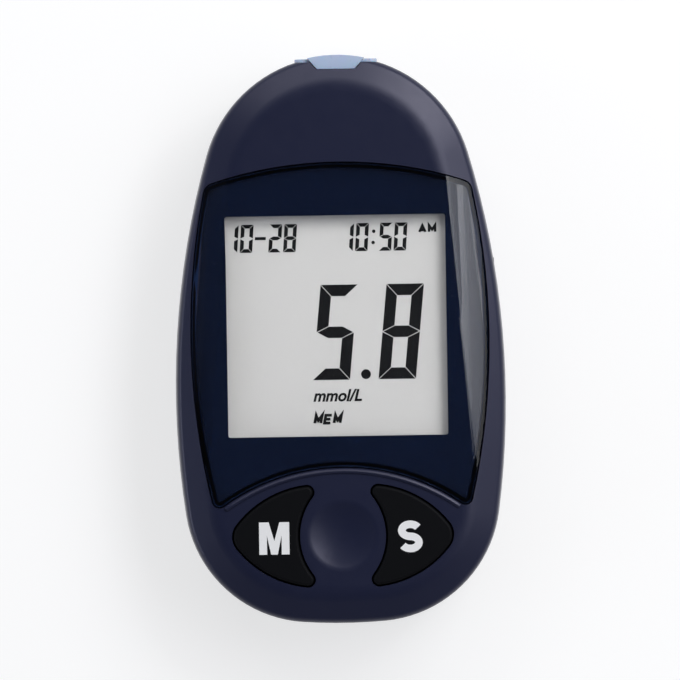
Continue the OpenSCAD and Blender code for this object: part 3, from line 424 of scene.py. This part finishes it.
def ribbon(points, stroke):
    """The outline of a stroke of even width along a line of points, with mitred corners."""
    points = [Vector(p) for p in points]
    runs = [(b - a).normalized() for a, b in zip(points, points[1:])]
    left, right = [], []
    for p, before, after in zip(points, [runs[0]] + runs, runs + [runs[-1]]):
        across = Vector((-before.y, before.x))
        mitre = (across + Vector((-after.y, after.x))).normalized()
        reach = mitre * stroke / 2 / mitre.dot(across)
        left.append(p + reach)
        right.append(p - reach)
    return [(p.x, p.y) for p in left + right[::-1]]


CAPITALS = {                          # strokes along their middles, in a cell one high and one wide
    "A": [[(0, 0), (0.5, 1), (1, 0)], [(0.3, 0.3), (0.7, 0.3)]],
    "E": [[(1, 1), (0, 1), (0, 0), (1, 0)], [(0.18, 0.5), (0.9, 0.5)]],
    "M": [[(0, 0), (0, 1), (0.5, 0.35), (1, 1), (1, 0)]],
}


def capitals(word, x, y, width, height, pitch, stroke, slant):
    """Small capitals whose strokes' middles fill cells of the given width and height."""
    outlines = []
    for i, letter in enumerate(word):
        for line in CAPITALS[letter]:
            outlines.append(ribbon([(x + pitch * i + width * u + slant * height * v, y + height * v)
                                    for u, v in line], stroke))
    return outlines


INK = 0.03                            # thickness of a printed or lit mark
ink_z = highest("display_front_polarizer").z
window_y = middle_y("display_front_polarizer")
digits_y = window_y - 10.4            # where the marks' lower edges lie
dot_y = window_y - 9.4                # the decimal point's middle
clock_y = window_y + 14.3
half_day_y = window_y + 17.8
unit_y = window_y - 14.6
memory_y = window_y - 18.7


def display_mark(name, outlines):
    """Dark marks that stand on the display's face."""
    flat_piece(name, outlines, ink_z, INK, SEGMENT_INK, "meter")


display_mark("display_reading", digit("5", -5.4, digits_y, **BIG_DIGIT)
             + digit("8", 7.3, digits_y, **BIG_DIGIT) + [disc(4.9, dot_y, 0.95)])
display_mark("display_date", small_number("10-28", -21.9, clock_y))
display_mark("display_time", small_number("10:50", 0.3, clock_y))
display_mark("display_half_day", capitals("AM", 15.6, half_day_y, 1.15, 1.25, 1.85, 0.5, 0))
display_mark("display_memory_word", capitals("MEM", -5.1, memory_y, 1.15, 1.5, 1.85, 0.56, 0.2))
lettering("display_unit", "mmol/L", -5.3, unit_y, 9.4, 2.4, ink_z, INK, 0.25,
          SEGMENT_INK, "meter")


# ------------------------------------------------------------------ key legends

def bold_m(x, y, width, height, stroke):
    """The outline of a bold M with its middle at x, y."""
    left, right, foot, top = x - width / 2, x + width / 2, y - height / 2, y + height / 2
    shoulder = 1.25 * stroke          # width of the strokes' flat tops
    point = 0.42 * stroke             # half the width of the middle's flat foot
    crotch = 0.42 * height            # depth of the inner corners, from the top and from the foot
    return [(left, foot), (left + stroke, foot), (left + stroke, top - crotch), (x - point, foot),
            (x + point, foot), (right - stroke, top - crotch), (right - stroke, foot),
            (right, foot), (right, top), (right - shoulder, top), (x, foot + crotch),
            (left + shoulder, top), (left, top)]


def bold_s(x, y, width, height, stroke):
    """The outline of a bold S with its middle at x, y: a ribbon along two bowls."""
    across, up = (width - stroke) / 2, (height - stroke) / 4
    steps = 20
    first, last = 28, 270             # degrees round the upper bowl, from its open end
    spine = []
    for i in range(steps + 1):
        turn = math.radians(first + (last - first) * i / steps)
        spine.append(Vector((x + across * math.cos(turn), y + up + up * math.sin(turn))))
    for i in range(1, steps + 1):
        turn = math.radians(90 - (last - first) * i / steps)
        spine.append(Vector((x + across * math.cos(turn), y - up + up * math.sin(turn))))
    return ribbon(spine, stroke)


letter_z = highest("s_button").z - 0.01 * MM
letter_y = middle_y("s_button") - 0.3
flat_piece("m_legend", [bold_m(-13.2, letter_y, 5.8, 6.2, 1.5)],
           letter_z, INK, LEGEND_WHITE, "m_key")
flat_piece("s_legend", [bold_s(12.9, letter_y, 4.7, 6.1, 1.45)],
           letter_z, INK, LEGEND_WHITE, "s_key")


# ------------------------------------------------------------------ stage

def add_glow(tree, strength):
    """Paper that looks brighter to the camera and in reflections, and keeps the object's shadow."""
    path = tree.nodes.new("ShaderNodeLightPath")
    seen = path.outputs["Is Camera Ray"]
    for ray in ("Is Glossy Ray", "Is Transmission Ray"):
        either = tree.nodes.new("ShaderNodeMath")
        either.operation = "MAXIMUM"
        tree.links.new(seen, either.inputs[0])
        tree.links.new(path.outputs[ray], either.inputs[1])
        seen = either.outputs[0]
    glow = add_node(tree, "ShaderNodeEmission", Color=(1, 1, 1, 1))
    level = tree.nodes.new("ShaderNodeMath")
    level.operation = "MULTIPLY"
    level.inputs[1].default_value = strength
    tree.links.new(seen, level.inputs[0])
    tree.links.new(level.outputs[0], glow.inputs["Strength"])
    both = tree.nodes.new("ShaderNodeAddShader")
    tree.links.new(tree.nodes["Principled BSDF"].outputs["BSDF"], both.inputs[0])
    tree.links.new(glow.outputs["Emission"], both.inputs[1])
    tree.links.new(both.outputs["Shader"], tree.nodes["Material Output"].inputs["Surface"])


def stage_floor():
    """A plain pale floor just under the meter."""
    mesh = bpy.data.meshes.new("floor")
    reach = 3
    corners = [(-reach, -reach, 0), (reach, -reach, 0), (reach, reach, 0), (-reach, reach, 0)]
    mesh.from_pydata(corners, [], [(0, 1, 2, 3)])
    floor = bpy.data.objects.new("floor", mesh)
    floor.location.z = -0.05 * MM
    scene.collection.objects.link(floor)
    paper = moulded("floor_paper", (0.42, 0.42, 0.42), 0.9, 2, 0.01, 0.004)
    add_glow(paper.node_tree, 0.665)
    mesh.materials.append(paper)


def world_light():
    """A dim room, darker overhead where the camera hangs, so that the lens stays dark."""
    world = bpy.data.worlds.new("room")
    scene.world = world
    world.use_nodes = True
    tree = world.node_tree
    background = tree.nodes["Background"]
    place = tree.nodes.new("ShaderNodeTexCoord")
    split = tree.nodes.new("ShaderNodeSeparateXYZ")
    tree.links.new(place.outputs["Generated"], split.inputs["Vector"])
    ramp = tree.nodes.new("ShaderNodeValToRGB")
    horizon, overhead = ramp.color_ramp.elements
    horizon.position = 0.15
    horizon.color = (0.85, 0.86, 0.90, 1)
    overhead.position = 0.78
    overhead.color = (0.05, 0.053, 0.062, 1)
    tree.links.new(split.outputs["Z"], ramp.inputs["Fac"])
    tree.links.new(ramp.outputs["Color"], background.inputs["Color"])
    background.inputs["Strength"].default_value = 0.62


def softbox(name, azimuth, tilt, distance, size, power, color=(1, 1, 1), fades=()):
    """An area lamp aimed at the object, tilt degrees from straight above, at azimuth from +X.

    The first size runs round the object and the second up and down. Each fade gives an axis of
    the lamp, two places along it from 0 to 1, and the strengths at and beyond them."""
    lamp = bpy.data.lights.new(name, "AREA")
    lamp.shape = "RECTANGLE"
    lamp.size, lamp.size_y = size
    lamp.energy = power
    lamp.color = color
    if fades:
        lamp.use_nodes = True
        tree = lamp.node_tree
        place = tree.nodes.new("ShaderNodeNewGeometry")
        split = tree.nodes.new("ShaderNodeSeparateXYZ")
        tree.links.new(place.outputs["Parametric"], split.inputs["Vector"])
        level = tree.nodes["Emission"].inputs["Strength"]
        for axis, start, end, weak, strong in fades:
            ramp = add_node(tree, "ShaderNodeMapRange", From_Min=start, From_Max=end,
                            To_Min=weak, To_Max=strong)
            product = tree.nodes.new("ShaderNodeMath")
            product.operation = "MULTIPLY"
            product.inputs[1].default_value = 1
            tree.links.new(split.outputs[axis], ramp.inputs["Value"])
            tree.links.new(ramp.outputs["Result"], product.inputs[0])
            tree.links.new(product.outputs[0], level)
            level = product.inputs[1]
    holder = bpy.data.objects.new(name, lamp)
    down, around = math.radians(tilt), math.radians(azimuth)
    direction = Vector((math.sin(down) * math.cos(around), math.sin(down) * math.sin(around),
                        math.cos(down)))
    holder.location = direction * distance
    holder.rotation_euler = direction.to_track_quat("Z", "Y").to_euler()
    scene.collection.objects.link(holder)


def place_camera():
    """Straight above the meter, which the photograph shows turned a little."""
    camera = bpy.data.cameras.new("camera")
    camera.sensor_width = 36
    camera.lens = 250
    low, high = cad_box
    middle = (Vector(low) + Vector(high)) / 2
    fill = 0.842                      # of the frame's height
    turn = -0.9                       # in degrees
    distance = camera.lens / camera.sensor_width * (high[1] - low[1]) / fill
    holder = bpy.data.objects.new("camera", camera)
    holder.location = (middle.x, middle.y, high[2] + distance)
    holder.rotation_euler = (0, 0, math.radians(turn))
    scene.collection.objects.link(holder)
    scene.camera = holder


stage_floor()
world_light()
# the right lens facet mirrors the middle of this lamp, so its fades are the facet's
softbox("right_box", 8, 44, 0.7, (0.55, 0.5), 3.4, (0.94, 0.95, 1),
        (("X", 0.385, 0.538, 0.36, 1), ("Y", 0.532, 0.562, 0.32, 1)))
softbox("corner_box", 50, 50, 0.8, (0.4, 0.3), 2.4)
softbox("top_box", 100, 52, 1.0, (0.9, 0.3), 2.2)
softbox("left_box", 190, 68, 1.1, (0.8, 0.24), 2.2, (0.82, 0.88, 1))
place_camera()
scene.view_settings.view_transform = "Standard"
